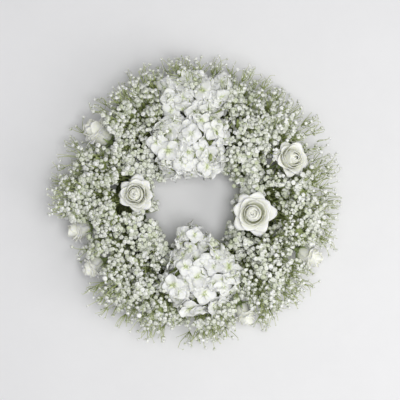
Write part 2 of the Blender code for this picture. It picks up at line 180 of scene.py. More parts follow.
def twigs(starts, ends, bends, thick, thin, sides=3, rings=4):
    """Tapered, gently bowed tubes.

    The middle line is start + (end - start) t + 4 t (1 - t) bend. Round it lies a regular
    polygon whose radius goes evenly from thick to thin.
    """
    count = len(starts)
    t = np.linspace(0, 1, rings)[None, :, None]
    line = starts[:, None] + (ends - starts)[:, None] * t + 4 * t * (1 - t) * bends[:, None]
    turns = facing(ends - starts, np.zeros(count))
    angle = 2 * np.pi * np.arange(sides) / sides
    spokes = np.stack([np.cos(angle), np.sin(angle), 0 * angle], axis=1)
    spokes = np.einsum("nij,sj->nsi", turns, spokes)
    radius = thick + (thin - thick) * t[..., None]
    points = line[:, :, None] + spokes[:, None] * radius
    faces = repeated(tube_faces(rings, sides), count, rings * sides)
    tint = np.broadcast_to(t, (count, rings, sides)).ravel()
    return Shape(points.reshape(-1, 3), faces, tint)


straight_twig = twigs(np.zeros((1, 3)), np.array([[0.0, 0.0, 1.0]]), np.zeros((1, 3)), 0.05, 0.03)
print("triangles in a twig:", triangles(straight_twig))

# %% [markdown]
# ## Reading the frame
#
# The solids say where everything may grow. Three questions are enough: where is a solid's skin,
# is a point inside a solid, and would a rose touch this point as it nods?

# %% Where the solids are
def skin(node):
    """(corners, outward normals, areas) of a solid's triangles."""
    mesh = nodes[node].data
    points = np.empty(len(mesh.vertices) * 3)
    mesh.vertices.foreach_get("co", points)
    order = np.empty(len(mesh.loops), np.int32)
    mesh.loops.foreach_get("vertex_index", order)
    corners = points.reshape(-1, 3)[order].reshape(-1, 3, 3)
    across = np.cross(corners[:, 1] - corners[:, 0], corners[:, 2] - corners[:, 0])
    length = np.linalg.norm(across, axis=1)
    whole = length > 1e-12  # a sliver with no area has no normal either
    return corners[whole], across[whole] / length[whole, None], length[whole] / 2


def within(points, node, margin):
    """True where a point is inside a convex solid, or nearer than margin to it.

    A point is inside where it lies behind the plane of every triangle.
    """
    corners, normals, _ = skin(node)
    return (points @ normals.T - (corners[:, 0] * normals).sum(axis=1)).max(axis=1) < margin


def points_on(node, spacing, chance):
    """About one point for each square of the skin with this side, and the skin's normal there.

    A point is a + u (b - a) + v (c - a) on a triangle drawn by area. Twelve are drawn for each
    square, and of all that fall in one cell of a cubic lattice, the first is kept.
    """
    corners, normals, areas = skin(node)
    count = int(areas.sum() / spacing**2 * 12)
    pick = chance.choice(len(areas), count, p=areas / areas.sum())
    u, v = chance.random((2, count))
    u, v = np.where(u + v > 1, 1 - u, u), np.where(u + v > 1, 1 - v, v)
    a, b, c = corners[pick, 0], corners[pick, 1], corners[pick, 2]
    points = a + (b - a) * u[:, None] + (c - a) * v[:, None]
    _, first = np.unique(np.floor(points / spacing).astype(int), axis=0, return_index=True)
    return points[first], normals[pick[first]]


bunches = sorted(name for name in nodes if name.startswith("babys_breath"))
heads = sorted(name for name in nodes if name.startswith("hydrangea") and name.endswith("head"))
print("bunches:", len(bunches), "hydrangea heads:", len(heads))

# %% Where the roses nod
Rose = namedtuple("Rose", "name neck way hinge radius length nod")


def read_rose(joint):
    """A rose's neck and hinge from its joint, and its way, width and length from its petals."""
    neck, hinge = np.array(joint["pos_m"]), np.array(joint["axis"])
    corners, _, _ = skin(f"{joint['child']}_bloom")
    points = corners.reshape(-1, 3) - neck
    way = unit(points.mean(axis=0))
    along = points @ way
    radius = np.linalg.norm(points - along[:, None] * way, axis=1).max()
    return Rose(joint["child"], neck, way, hinge, radius, along.max(), joint["range_deg"])


roses = [read_rose(joint) for joint in frame["record"]["behaviour"]["joints"]]
for rose in roses:
    print(rose.name, "radius and length in mm:", round(rose.radius * 1000), round(rose.length * 1000))

# How far a rose reaches sideways, as a share of its radius, from its neck (0) to its top (1): the
# sepals and the foot first, then the skirt, then the bud.
ALONG_ROSE = [0.0, 0.15, 0.25, 0.36, 0.44, 0.72, 0.82, 0.92, 1.0]
ROSE_REACH = [0.45, 0.78, 0.90, 1.00, 1.16, 1.14, 1.00, 0.80, 0.62]
BALL_DEPTH = 0.006  # metres that the stem's ball reaches below the neck


def met_by_roses(points, margin):
    """True where a rose comes nearer than margin, at rest or nodding.

    For five angles of the hinge, the way is turned: way cos a + (hinge x way) sin a. A point is
    met where its distance from that line is under the rose's reach at that share of its length,
    and where it is no lower than the stem's ball and no higher than the rose's top.
    """
    met = np.zeros(len(points), bool)
    for rose in roses:
        side = np.cross(rose.hinge, rose.way)
        for angle in np.radians(np.linspace(*rose.nod, 5)):
            way = rose.way * math.cos(angle) + side * math.sin(angle)
            along = (points - rose.neck) @ way
            off = np.linalg.norm(points - rose.neck - along[:, None] * way, axis=1)
            room = rose.radius * np.interp(along / rose.length, ALONG_ROSE, ROSE_REACH) + margin
            met |= (off < room) & (along > -BALL_DEPTH - margin) & (along < rose.length + margin)
    return met


# %% [markdown]
# ## Finishes
#
# Living petals let light into them, so the white ones scatter it under the skin. Their colour
# runs over each petal, from green at its foot to white at its edge, and follows the tint that
# every point carries. A little noise breaks it up, and a fine bump gives the veins.

# %% What every finish shares
def rough_material(name, roughness, grain, detail, strength, relief):
    """(material, node tree, shader, noise): a noise on Object coordinates raises the surface.

    The bump gives this strength of a relief in metres, and the noise has this many finer layers.
    """
    made = bpy.data.materials.new(name)
    made.use_nodes = True
    tree = made.node_tree
    shader = tree.nodes["Principled BSDF"]
    shader.inputs["Roughness"].default_value = roughness
    where = tree.nodes.new("ShaderNodeTexCoord")
    noise = tree.nodes.new("ShaderNodeTexNoise")
    noise.inputs["Scale"].default_value = grain
    noise.inputs["Detail"].default_value = detail
    bump = tree.nodes.new("ShaderNodeBump")
    bump.inputs["Strength"].default_value = strength
    bump.inputs["Distance"].default_value = relief
    tree.links.new(where.outputs["Object"], noise.inputs["Vector"])
    tree.links.new(noise.outputs["Fac"], bump.inputs["Height"])
    tree.links.new(bump.outputs["Normal"], shader.inputs["Normal"])
    return made, tree, shader, noise


def colour_ramp(tree, shader, value, stops):
    """A ramp that gives the shader its colour: value runs through the stops' colours."""
    ramp = tree.nodes.new("ShaderNodeValToRGB")
    ramp.color_ramp.elements[0].position = 0
    for _ in stops[2:]:
        ramp.color_ramp.elements.new(0.5)
    for element, (position, colour) in zip(ramp.color_ramp.elements, stops):
        element.position = position
        element.color = (*colour, 1)
    tree.links.new(value, ramp.inputs["Fac"])
    tree.links.new(ramp.outputs["Color"], shader.inputs["Base Color"])


# %% Petal and leaf finishes
NOISE_SHARE = 0.3  # how far the noise moves the tint, from lowest to highest


def finish(name, colours, roughness, grain, relief, light_inside=0.0, sheen=0.0):
    """A material whose colour runs through colours as the tint goes from 0 to 1.

    The ramp is read at tint + share noise - share / 2, so the noise moves it both ways.
    """
    made, tree, shader, noise = rough_material(name, roughness, grain, 4, 0.6, relief)
    shader.inputs["Subsurface Weight"].default_value = light_inside
    shader.inputs["Subsurface Radius"].default_value = (1.0, 1.0, 0.8)
    shader.inputs["Subsurface Scale"].default_value = 0.0007
    shader.inputs["Sheen Weight"].default_value = sheen
    shader.inputs["Specular IOR Level"].default_value = 0.3
    tint = tree.nodes.new("ShaderNodeAttribute")
    tint.attribute_name = "tint"
    drift = tree.nodes.new("ShaderNodeMath")
    drift.operation = "MULTIPLY_ADD"
    drift.inputs[1].default_value = NOISE_SHARE
    shift = tree.nodes.new("ShaderNodeMath")
    shift.operation = "SUBTRACT"
    shift.inputs[1].default_value = NOISE_SHARE / 2
    tree.links.new(noise.outputs["Fac"], drift.inputs[0])
    tree.links.new(tint.outputs["Fac"], drift.inputs[2])
    tree.links.new(drift.outputs[0], shift.inputs[0])
    colour_ramp(tree, shader, shift.outputs[0], colours)
    return made


floret_finish = finish(
    "babys_breath_white",
    [(0.0, (0.26, 0.33, 0.10)), (0.4, (0.54, 0.60, 0.38)), (0.8, (0.74, 0.76, 0.68)),
     (1.0, (0.93, 0.94, 0.91))],
    roughness=0.6, grain=600, relief=0.0003, light_inside=0.25,
)
twig_finish = finish(
    "twig_green",
    [(0.0, (0.21, 0.26, 0.07)), (0.3, (0.35, 0.41, 0.15)), (0.6, (0.48, 0.54, 0.25)),
     (1.0, (0.70, 0.73, 0.50))],
    roughness=0.55, grain=300, relief=0.0002,
)
hydrangea_finish = finish(
    "hydrangea_white",
    [(0.0, (0.50, 0.58, 0.24)), (0.3, (0.76, 0.80, 0.64)), (0.7, (0.86, 0.87, 0.84))],
    roughness=0.5, grain=260, relief=0.0005, light_inside=0.35,
)
rose_finish = finish(
    "rose_cream",
    [(0.0, (0.50, 0.56, 0.13)), (0.42, (0.80, 0.83, 0.46)), (0.72, (0.89, 0.90, 0.79)),
     (1.0, (0.92, 0.92, 0.89))],
    roughness=0.45, grain=120, relief=0.0004, light_inside=0.55, sheen=0.1,
)
calyx_finish = finish(
    "calyx_green",
    [(0.0, (0.20, 0.27, 0.09)), (0.7, (0.34, 0.42, 0.18)), (1.0, (0.45, 0.52, 0.28))],
    roughness=0.5, grain=400, relief=0.0003,
)
leaf_finish = finish(
    "leaf_green",
    [(0.0, (0.12, 0.15, 0.04)), (0.6, (0.24, 0.29, 0.10)), (1.0, (0.38, 0.43, 0.20))],
    roughness=0.45, grain=150, relief=0.0004,
)
print("finishes:", len(bpy.data.materials))

# %% [markdown]
# ## Baby's breath
#
# A floret of baby's breath is a ball of ruffled petals no wider than a pea, in a small green cup.
# Thousands of them are in view, so each is kept to a few dozen faces: six rings of ten points,
# where every second point of the rim draws in to part the petals. The inner rings are turned by
# half a petal, as the real second whorl is.

# %% One floret and one bud
LOBES = 5
# (radius at a petal's tip, radius at the notch, height at the tip, height at the notch, tint)
FLORET_RINGS = np.array([
    (0.14, 0.14, -1.00, -1.00, 0.00),
    (0.42, 0.36, -0.60, -0.55, 0.15),
    (1.00, 0.78, -0.05, -0.15, 0.85),
    (0.88, 0.70, 0.22, 0.34, 0.80),
    (0.52, 0.74, 0.58, 0.46, 0.95),
    (0.20, 0.17, 0.50, 0.40, 0.75),
])
BUD_RINGS = np.array([
    (0.20, 0.20, -0.9, -0.9, 0.0),
    (0.62, 0.62, -0.3, -0.3, 0.2),
    (0.50, 0.50, 0.5, 0.5, 0.75),
    (0.12, 0.12, 0.9, 0.9, 0.8),
])


def ringed(rings, points_round, ruffle=None):
    """A closed shape from rings: even points take a ring's tip values, odd ones its notch's.

    A ruffle is two arrays. The radius is taken times 1 + the first, and the second is added to
    the height.
    """
    angle = 2 * np.pi * np.arange(points_round) / points_round
    odd = np.arange(points_round) % 2
    radius = np.where(odd, rings[:, 1:2], rings[:, 0:1])
    height = np.where(odd, rings[:, 3:4], rings[:, 2:3])
    if ruffle is not None:
        radius, height = radius * (1 + ruffle[0]), height + ruffle[1]
    points = np.stack([radius * np.cos(angle), radius * np.sin(angle), height], axis=2)
    tint = np.broadcast_to(rings[:, 4:5], radius.shape).ravel()
    return Shape(points.reshape(-1, 3), tube_faces(len(rings), points_round), tint)


chance = np.random.default_rng(11)
florets = [
    ringed(
        FLORET_RINGS, LOBES * 2,
        chance.normal(0, 0.13, (2, len(FLORET_RINGS), LOBES * 2)) * [[[1.0]], [[0.8]]],
    )
    for _ in range(8)
]
bud = ringed(BUD_RINGS, 6)
print("triangles in a floret and in a bud:", triangles(florets[0]), triangles(bud))

# %% [markdown]
# A spray branches again and again: a stem leaves the ring, forks into twigs, and every twig ends
# in a few threads, each with a floret. It is easiest to grow backwards. The florets are placed
# first, where the bunch's skin needs them. Neighbours then share a fork a little nearer the ring,
# those forks share a lower one, and the last ones meet at the root.

# %% Forks and bows
def off_centre(points):
    """Each point's distance from the crown's middle, seen from above."""
    return np.linalg.norm(points[:, :2], axis=1)


def towards_rim(points, edge, width):
    """0 up to this distance from the middle, and an even rise to 1 over the next width."""
    return np.clip((off_centre(points) - edge) / width, 0, 1)


print("share of the rim at 20 cm:", towards_rim(np.array([[0.2, 0.0, 0.0]]), 0.19, 0.03).round(2))


def fork(tips, per_fork, pull, root):
    """(fork of each tip, fork points).

    Seeds are drawn from the tips, each tip joins its nearest seed, and a fork starts at the mean
    of its tips. It then moves towards the root by pull, but never past 60% of the way.
    """
    count = max(1, len(tips) // per_fork)
    seeds = tips[chance.permutation(len(tips))[:count]]
    for _ in range(2):
        nearest = np.linalg.norm(tips[:, None] - seeds[None], axis=2).argmin(axis=1)
        share = np.bincount(nearest, minlength=count)[:, None]
        sums = np.stack([np.bincount(nearest, tips[:, k], count) for k in range(3)], axis=1)
        seeds = np.where(share > 0, sums / np.maximum(share, 1), seeds)
    away = root - seeds
    length = np.linalg.norm(away, axis=1, keepdims=True)
    return nearest, seeds + away / length * np.minimum(pull, 0.6 * length)


def bowed(starts, ends, amount):
    """A bend for each twig, in proportion to its length: sideways at random, and always upwards.

    It is twice as much at the rim, where the stems hang free and arch.
    """
    length = np.linalg.norm(ends - starts, axis=1, keepdims=True)
    free = towards_rim(ends, 0.19, 0.03)[:, None]
    bends = chance.normal(0, 1, starts.shape) * length * amount * (1 + free)
    bends[:, 2] = np.abs(bends[:, 2]) / 4
    return bends


# %% Sprays
# (radius at the foot, radius at the tip, bow as a share of the length) of each kind of stem
THREAD, BRANCH, STEM = (0.00072, 0.00050, 0.08), (0.00115, 0.00082, 0.09), (0.00135, 0.00100, 0.06)
THREAD_GAP, STEM_GAP = 0.001, 0.002  # metres that stay free between them and a nodding rose


def spray(tips, root):
    """(florets' tips kept, their ways, twigs) of one bunch that grows from one root.

    Threads run from a first fork to the tips, branches from a lower fork to the first, and stems
    from the root to the lower fork. A thread that a rose would meet as it nods is left out with
    its floret. Of a branch or a stem only the wood is left out, and the sprays round it hide
    that. The tint is 0.6 of the way along a twig, plus up to 0.4 towards the rim: painted light
    that makes the twigs paler where the sprays are airy and little shaded.
    """
    near, forks = fork(tips, 5, 0.020, root)
    clear = ~met_by_roses((tips + forks[near]) / 2, THREAD_GAP)
    clear &= ~met_by_roses(forks[near], THREAD_GAP)
    tips, near = tips[clear], near[clear]
    low, lower = fork(forks, 4, 0.030, root)
    used = np.isin(np.arange(len(forks)), near)
    middles = (forks + lower[low]) / 2
    open_way = used & ~met_by_roses(middles, STEM_GAP) & ~met_by_roses(lower[low], STEM_GAP)
    stems_clear = np.isin(np.arange(len(lower)), low[open_way])
    for share in np.linspace(0, 1, 9):
        stems_clear &= ~met_by_roses(lower + (root - lower) * share, STEM_GAP)
    threads = tips, forks[near]
    branches = forks[open_way], lower[low][open_way]
    stems = lower[stems_clear], np.broadcast_to(root, lower[stems_clear].shape)
    parts = []
    for (ends, starts), (thick, thin, bow) in (
        (threads, THREAD), (branches, BRANCH), (stems, STEM),
    ):
        if len(ends):
            parts.append(twigs(starts, ends, bowed(starts, ends, bow), thick, thin))
    stalks = joined(parts)
    # painted light: the twigs grow paler towards the airy, little-shaded rim
    outer = towards_rim(stalks.points, 0.19, 0.05)
    stalks = stalks._replace(tint=0.6 * stalks.tint + 0.4 * outer)
    return tips, unit(tips - forks[near]), stalks


print("radius at the foot in mm:", [round(kind[0] * 1000, 2) for kind in (THREAD, BRANCH, STEM)])

# %% [markdown]
# The sprays of one bunch mingle with the next, so the florets are laid out for the whole crown at
# once, over a cloud that runs round the ring like a lumpy tube. Each tip then belongs to the
# bunch whose middle is nearest. Clusters make the skin, sparser layers lie deeper and fill the
# gaps, and loose wisps stand out at the rim and on top.

# %% The cloud
RING_MIDDLE, RING_HEIGHT = 0.114, 0.024  # metres: the padded ring's middle line
CLOUD_MIDDLE, CLOUD_HEIGHT = 0.150, 0.047  # metres: the line that the cloud runs round
# (angle round the section in degrees, 0 outwards and 90 up; metres from its middle to its skin)
CLOUD_SECTION = np.array([
    (-75, 0.038), (-40, 0.052), (0, 0.062), (30, 0.068), (60, 0.062), (90, 0.056), (120, 0.058),
    (150, 0.070), (182, 0.077),
])
NARROWEST = math.radians(202)  # the side on which the crown's outline draws in
# (waves round the crown, waves round the section, phase) of the lumps
LUMPS = [(chance.integers(3, 19), chance.integers(-3, 4), chance.uniform(0, 7)) for _ in range(9)]


def cloud(azimuth, section, depth):
    """(points, outward directions) at a depth under the cloud's skin.

    A point is (middle + d cos f) outwards and height + d sin f up, where f is the angle round
    the section. The distance d comes from the section's table, times 1 + 0.03 times a sum of
    waves sin(m azimuth + n f + phase) for the lumps, and up to 22% is taken off it on the
    narrowest side.
    """
    lumps = sum(np.sin(m * azimuth + n * section + phase) for m, n, phase in LUMPS)
    narrow = 0.22 * np.exp(-((azimuth - NARROWEST) / 0.22) ** 2) * (section < 1.2)
    distance = np.interp(np.degrees(section), CLOUD_SECTION[:, 0], CLOUD_SECTION[:, 1])
    distance = distance * (1 + 0.03 * lumps - narrow) - depth
    out = CLOUD_MIDDLE + distance * np.cos(section)
    height = CLOUD_HEIGHT + distance * np.sin(section)
    points = np.stack([out * np.cos(azimuth), out * np.sin(azimuth), height], axis=-1)
    ways = [np.cos(section) * np.cos(azimuth), np.cos(section) * np.sin(azimuth), np.sin(section)]
    return points, np.stack(ways, axis=-1)


print("the cloud's top in mm:", round((CLOUD_HEIGHT + CLOUD_SECTION[5, 1]) * 1000))

# %% Creases and gaps
# Nine waves in random directions, 30 to 70 mm from crest to crest, part the sprays
CREASES = unit(chance.normal(0, 1, (9, 3))) * 2 * np.pi / chance.uniform(0.030, 0.070, (9, 1))
CREASE_PHASES = chance.uniform(0, 2 * np.pi, 9)
# (degrees round the crown, metres from its middle) of the gaps where stems and moss show
GAPS = np.array([
    (54, 0.134), (6, 0.166), (22, 0.120), (-54, 0.138), (208, 0.134), (155, 0.156), (120, 0.170),
    (238, 0.138), (-30, 0.196), (100, 0.205),
])
GAP_DEPTH, GAP_WIDTH = 2.2, 0.011  # how much a gap lowers the fullness, and its width in metres
GAP_ANGLES = np.radians(GAPS[:, 0])
GAP_SPOTS = GAPS[:, 1:] * np.stack([np.cos(GAP_ANGLES), np.sin(GAP_ANGLES)], axis=1)


def fullness(points):
    """High in the middle of a spray, low between sprays and lowest in the named gaps.

    Nine crossed sine waves are added up, over the square root of 4.5, which brings their usual
    size to 1. Near a gap, depth exp(-d^2 / (2 width^2)) is taken off.
    """
    waves = np.sin(points @ CREASES.T + CREASE_PHASES).sum(axis=1) / math.sqrt(4.5)
    apart = np.linalg.norm(points[:, None, :2] - GAP_SPOTS[None], axis=2).min(axis=1)
    return waves - GAP_DEPTH * np.exp(-(apart**2) / (2 * GAP_WIDTH**2))


print("fullness in the first gaps:", fullness(np.insert(GAP_SPOTS[:3], 2, 0.1, axis=1)).round(1))

# %% Layers, clusters and wisps
DRAWS = 90000  # enough points for nearly every cell of a layer's lattice to get one


def layer(spacing, shallow, deep, sink, thinning):
    """Tips about this far apart, one to a cell of a lattice, between two depths.

    Between the sprays, where hollow = -0.25 - 1.3 fullness is above 0, they sink deeper and some
    of them are left out. Towards the rim fewer and fewer are kept, down to 16%, as the sprays
    end in single threads there.
    """
    azimuth = chance.uniform(0, 2 * np.pi, DRAWS)
    section = np.radians(chance.uniform(*CLOUD_SECTION[[0, -1], 0], DRAWS))
    points, _ = cloud(azimuth, section, shallow)
    _, first = np.unique(np.floor(points / spacing).astype(int), axis=0, return_index=True)
    hollow = np.clip(-0.25 - 1.3 * fullness(points[first]), 0, 1)
    airy = towards_rim(points[first], 0.198, 0.035)
    depth = chance.uniform(shallow, deep, len(first)) + sink * hollow
    kept = chance.random(len(first)) < (1 - thinning * hollow) * (1 - 0.84 * airy)
    return cloud(azimuth[first][kept], section[first][kept], depth[kept])[0]


def clusters(middles, spread, most):
    """Up to most tips round each middle, at random distances of about the spread."""
    number = chance.integers(most // 2, most + 1, len(middles))
    middles = np.repeat(middles, number, axis=0)
    return middles + chance.normal(0, spread, middles.shape)


def wisps(count, low, high, reach, spread, most):
    """Loose clusters that stand out of the skin by up to reach, less on the narrowest side.

    low and high are degrees round the section.
    """
    azimuth = chance.uniform(0, 2 * np.pi, count)
    section = np.radians(chance.uniform(low, high, count))
    short = np.exp(-((azimuth - NARROWEST) / 0.20) ** 2)
    out = chance.uniform(0.1, 1.0, count) * reach * (1 - 0.8 * short)
    return clusters(cloud(azimuth, section, -out)[0], spread, most)


# %% [markdown]
# Some places stay clear: the hydrangea heads, all that the roses sweep as they nod, the air over
# the roses at the rim, so that they are seen from above, and the hoop's opening.

# %% Keeping clear
LYING = 0.6  # a rose whose way rises less than this lies on its side
HIP_LENGTH, AHEAD = 0.006, 0.012  # metres along a rose: its hip, and the free air past its top
EDGE, FLOOR, TOP = 0.249, 0.009, 0.121  # metres: how far out, how low and how high florets grow
# Below this height, nothing comes nearer to the crown's middle than the opening's radius
OPENING_HEIGHT, OPENING_RADIUS = 0.048, 0.095
ROSE_GAP, HEAD_GAP = 0.0045, 0.009  # metres from a floret's middle to a rose and to a head
OVERHANG = 0.062  # the heads lean over the opening as far as this from the crown's middle


def over_roses(points):
    """True over a rose that lies on its side: above its middle, and within its width.

    The width kept free grows from half the rose's radius at its hip to all of it past its top.
    """
    hidden = np.zeros(len(points), bool)
    for rose in roses:
        if rose.way[2] < LYING:
            low = rose.neck + rose.way * HIP_LENGTH
            high = rose.neck + rose.way * (rose.length + AHEAD)
            line = (high - low)[:2]
            share = np.clip(((points - low)[:, :2] @ line) / (line @ line), 0, 1)
            near = low[:2] + share[:, None] * line
            off = np.linalg.norm(points[:, :2] - near, axis=1)
            hidden |= (off < rose.radius * (0.5 + 0.5 * share)) & (points[:, 2] > low[2])
    return hidden


def clear(points):
    """The points that lie inside the crown's outline and in none of the kept-clear places."""
    out, height = off_centre(points), points[:, 2]
    keep = (out < EDGE) & (height > FLOOR) & (height < TOP)
    keep &= (out > OPENING_RADIUS) | (height > OPENING_HEIGHT)
    keep &= ~met_by_roses(points, ROSE_GAP) & ~over_roses(points)
    for head in heads:
        keep &= ~within(points, head, HEAD_GAP)
    return points[keep]


def crossing(head, spacing, least):
    """Tips of a few loose sprays that grow through a hydrangea head and stand out of it.

    They come in patches, where the fullness at 1.4 times the place is above the least.
    """
    points, normals = points_on(head, spacing, chance)
    wanted = (fullness(points * 1.4) > least) & (normals[:, 2] > -0.2)
    points, normals = points[wanted], normals[wanted]
    points = points + normals * chance.uniform(0.004, 0.011, (len(points), 1))
    keep = (points[:, 2] < TOP) & (off_centre(points) > OVERHANG)
    return points[keep & ~met_by_roses(points, ROSE_GAP)]


print("roses that lie on their sides:", sum(rose.way[2] < LYING for rose in roses))

# %% Tips for the whole crown
skin_middles = layer(spacing=0.0185, shallow=-0.003, deep=0.006, sink=0.014, thinning=0.8)
tips = clear(np.concatenate([
    clusters(skin_middles, spread=0.0043, most=10),
    layer(spacing=0.0088, shallow=0.002, deep=0.014, sink=0.016, thinning=0.8),
    layer(spacing=0.0105, shallow=0.015, deep=0.026, sink=0.012, thinning=0.5),
    layer(spacing=0.0125, shallow=0.030, deep=0.044, sink=0.0, thinning=0.0),
    wisps(230, low=-25, high=60, reach=0.036, spread=0.0065, most=7),
    wisps(230, low=-20, high=50, reach=0.044, spread=0.0130, most=4),
    wisps(110, low=62, high=150, reach=0.012, spread=0.006, most=6),
]))
tips = np.concatenate([tips] + [crossing(head, spacing=0.0095, least=1.25) for head in heads])
middles = [(np.array(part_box(node)[0]) + np.array(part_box(node)[1])) / 2 for node in bunches]
bunch_of = np.linalg.norm(tips[:, None] - np.array(middles)[None], axis=2).argmin(axis=1)
print("tips:", len(tips), "in a bunch:", np.bincount(bunch_of).tolist())

# %% [markdown]
# Now each bunch grows from its own tips. Towards the rim its florets get smaller and more of them
# are still buds; round the opening they are a little larger. Their tint carries painted light: it is
# paler towards the airy, little-shaded rim, and darker and greener round the opening, as painted
# shade. One mesh holds all the florets of a bunch and one all its twigs, so the whole cloud is only
# a few dozen objects.

# %% Growing the bunches
BUD_SHARE = 0.5  # a bud's size, as a share of a floret's


def root_of(points):
    """The spot in the middle of the padded ring that lies nearest to the bunch."""
    middle = points.mean(axis=0)
    out = middle[:2] / np.linalg.norm(middle[:2])
    return np.array([*(out * RING_MIDDLE), RING_HEIGHT])


total = 0
for number, node in enumerate(bunches):
    own = tips[bunch_of == number]
    ends, ways, stalks = spray(own, root_of(own))
    count = len(ends)
    # rim rises from 0 to 1 over the last 4 cm, and inner over the 3 cm before the opening
    rim = towards_rim(ends, 0.20, 0.04)
    is_bud = chance.random(count) < 0.12 + 0.30 * rim
    inner = np.clip((0.130 - off_centre(ends)) / 0.03, 0, 1)
    patch = 1 + 0.12 * fullness(ends * 0.6 + 0.3)
    sizes = chance.uniform(0.0032, 0.0048, count) * patch * (1 - 0.3 * rim + 0.15 * inner)
    lean = unit(ways + [0, 0, 0.35] + chance.normal(0, 0.25, ways.shape))
    turns = facing(lean, chance.uniform(0, 2 * np.pi, count))
    kind = chance.integers(0, len(florets), count)
    # a random tone, plus painted light and shade: florets paler towards the airy rim, and darker and
    # greener round the opening where shade falls
    pale = chance.normal(-0.03, 0.14, count) + 0.20 * rim - 0.04 * inner
    parts = []
    for index, shape in enumerate(florets):
        chosen = (kind == index) & ~is_bud
        if chosen.any():
            parts.append(copies(shape, turns[chosen], ends[chosen], sizes[chosen], pale[chosen]))
    if is_bud.any():
        small = sizes[is_bud] * BUD_SHARE
        parts.append(copies(bud, turns[is_bud], ends[is_bud], small, pale[is_bud]))
    flowers = joined(parts)
    make_piece(f"{node}_florets", flowers, floret_finish, "crown", [node])
    make_piece(f"{node}_twigs", stalks, twig_finish, "crown")
    total += count
    print(node, "florets:", count, "triangles:", triangles(flowers), triangles(stalks))
print("florets in all:", total)

# %% [markdown]
# ## Hydrangea heads
#
# Each floret has four broad sepals in a cross, two of them over the other two. A sepal is a thin
# sheet: wide and rounded, cupped across, lifting towards its tip, with a soft ripple. Several
# florets with different ripples are made once and then spread over each head's dome. Below them
# stand the stalks and small green bracts, which show in the gaps.

# %% One hydrangea floret
def sepal_sheets(count, rows=6, columns=5):
    """Sepals one unit long, each its own ripple.

    s runs 0 to 1 along the sepal and t -1 to 1 across. The half width is w = W sqrt(1 - ((s -
    0.56) / 0.56)^2), at least 0.1. Then x = w t, y = s (1 - 0.20 t^2), and z = cup t^2 + lift s^2
    + ripple (sin(4 t + phase) s^2 + 0.6 sin(7 s + phase) t), with a shallow crease down the middle.
    Adding 0 times an array, as in y, only gives the result that array's shape.
    """
    s = np.linspace(0.0, 1, rows)[None, :, None]
    t = np.linspace(-1, 1, columns)[None, None, :]
    wide = chance.uniform(0.48, 0.60, (count, 1, 1))
    half = np.maximum(0.1, wide * np.sqrt(np.clip(1 - ((s - 0.56) / 0.56) ** 2, 0, 1)))
    cup = chance.uniform(-0.08, 0.22, (count, 1, 1))
    lift = chance.uniform(-0.30, 0.30, (count, 1, 1))
    ripple = chance.uniform(0.05, 0.14, (count, 1, 1))
    phase = chance.uniform(0, 2 * np.pi, (count, 1, 1))
    x = half * t
    y = s * (1 - 0.20 * t**2) + 0 * wide
    z = cup * t**2 + lift * s**2 + 0.05 * np.abs(t) * np.sin(np.pi * s)
    z = z + ripple * (np.sin(4 * t + phase) * s**2 + 0.6 * np.sin(7 * s + phase) * t)
    tint = np.clip(s * 2.2 + 0 * t, 0, 1)[0]
    return np.stack([x, y, z], axis=3), tint


def hydrangea_floret():
    """Four sepals a quarter turn apart, every second one a little higher, and an eye on them."""
    sheets, tint = sepal_sheets(4)
    quarter = np.pi / 2 * np.arange(4) + chance.normal(0, 0.10, 4)
    cos, sin = np.cos(quarter)[:, None, None], np.sin(quarter)[:, None, None]
    x, y, z = sheets[..., 0], sheets[..., 1], sheets[..., 2]
    level = np.array([0.0, 0.07, 0.0, 0.07])[:, None, None]
    turned = np.stack([x * cos - y * sin, x * sin + y * cos, z + level], axis=3)
    petals = thin_sheet(turned, 0.022, np.broadcast_to(tint, x.shape).reshape(4, *tint.shape))
    eye = ringed(BUD_RINGS * [0.16, 0.16, 0.10, 0.10, 0.3] + [0, 0, 0.10, 0.10, 0], 6)
    return joined([petals, eye])


hydrangea_florets = [hydrangea_floret() for _ in range(8)]
sheets, tint = sepal_sheets(1)
sepal = thin_sheet(sheets, 0.03, np.broadcast_to(tint, sheets.shape[:3]))
print("triangles in a hydrangea floret:", triangles(hydrangea_florets[0]))

# %% [markdown]
# The florets are spread over each dome, except where another head or a nodding rose covers it.
# They lean out a little at random, as no two stand alike. Forked stalks hold them up, and bracts
# stand deeper, between the stalks.

# %% Covering the domes
PETAL_TOP = 0.124  # metres that no floret stands above
# How far a floret rises over its middle, as a share of its size, when it lies level; one that
# stands on edge rises by its whole size more
LEVEL_RISE = 0.45
FLORET_SPACING, BRACT_SPACING = 0.0195, 0.010  # metres from each to the next, over the dome
# (radius at the foot, radius at the tip) of a floret's stalk and of the stalks that it forks from
STALK, LOW_STALK = (0.0009, 0.0007), (0.0016, 0.0011)


def uncovered(points, normals, own, reach=0.006):
    """True where no other head covers the skin: a point this far out is in none of them."""
    probe = points + normals * reach
    open_air = np.ones(len(points), bool)
    for head in heads:
        if head != own:
            open_air &= ~within(probe, head, 0.0)
    return open_air


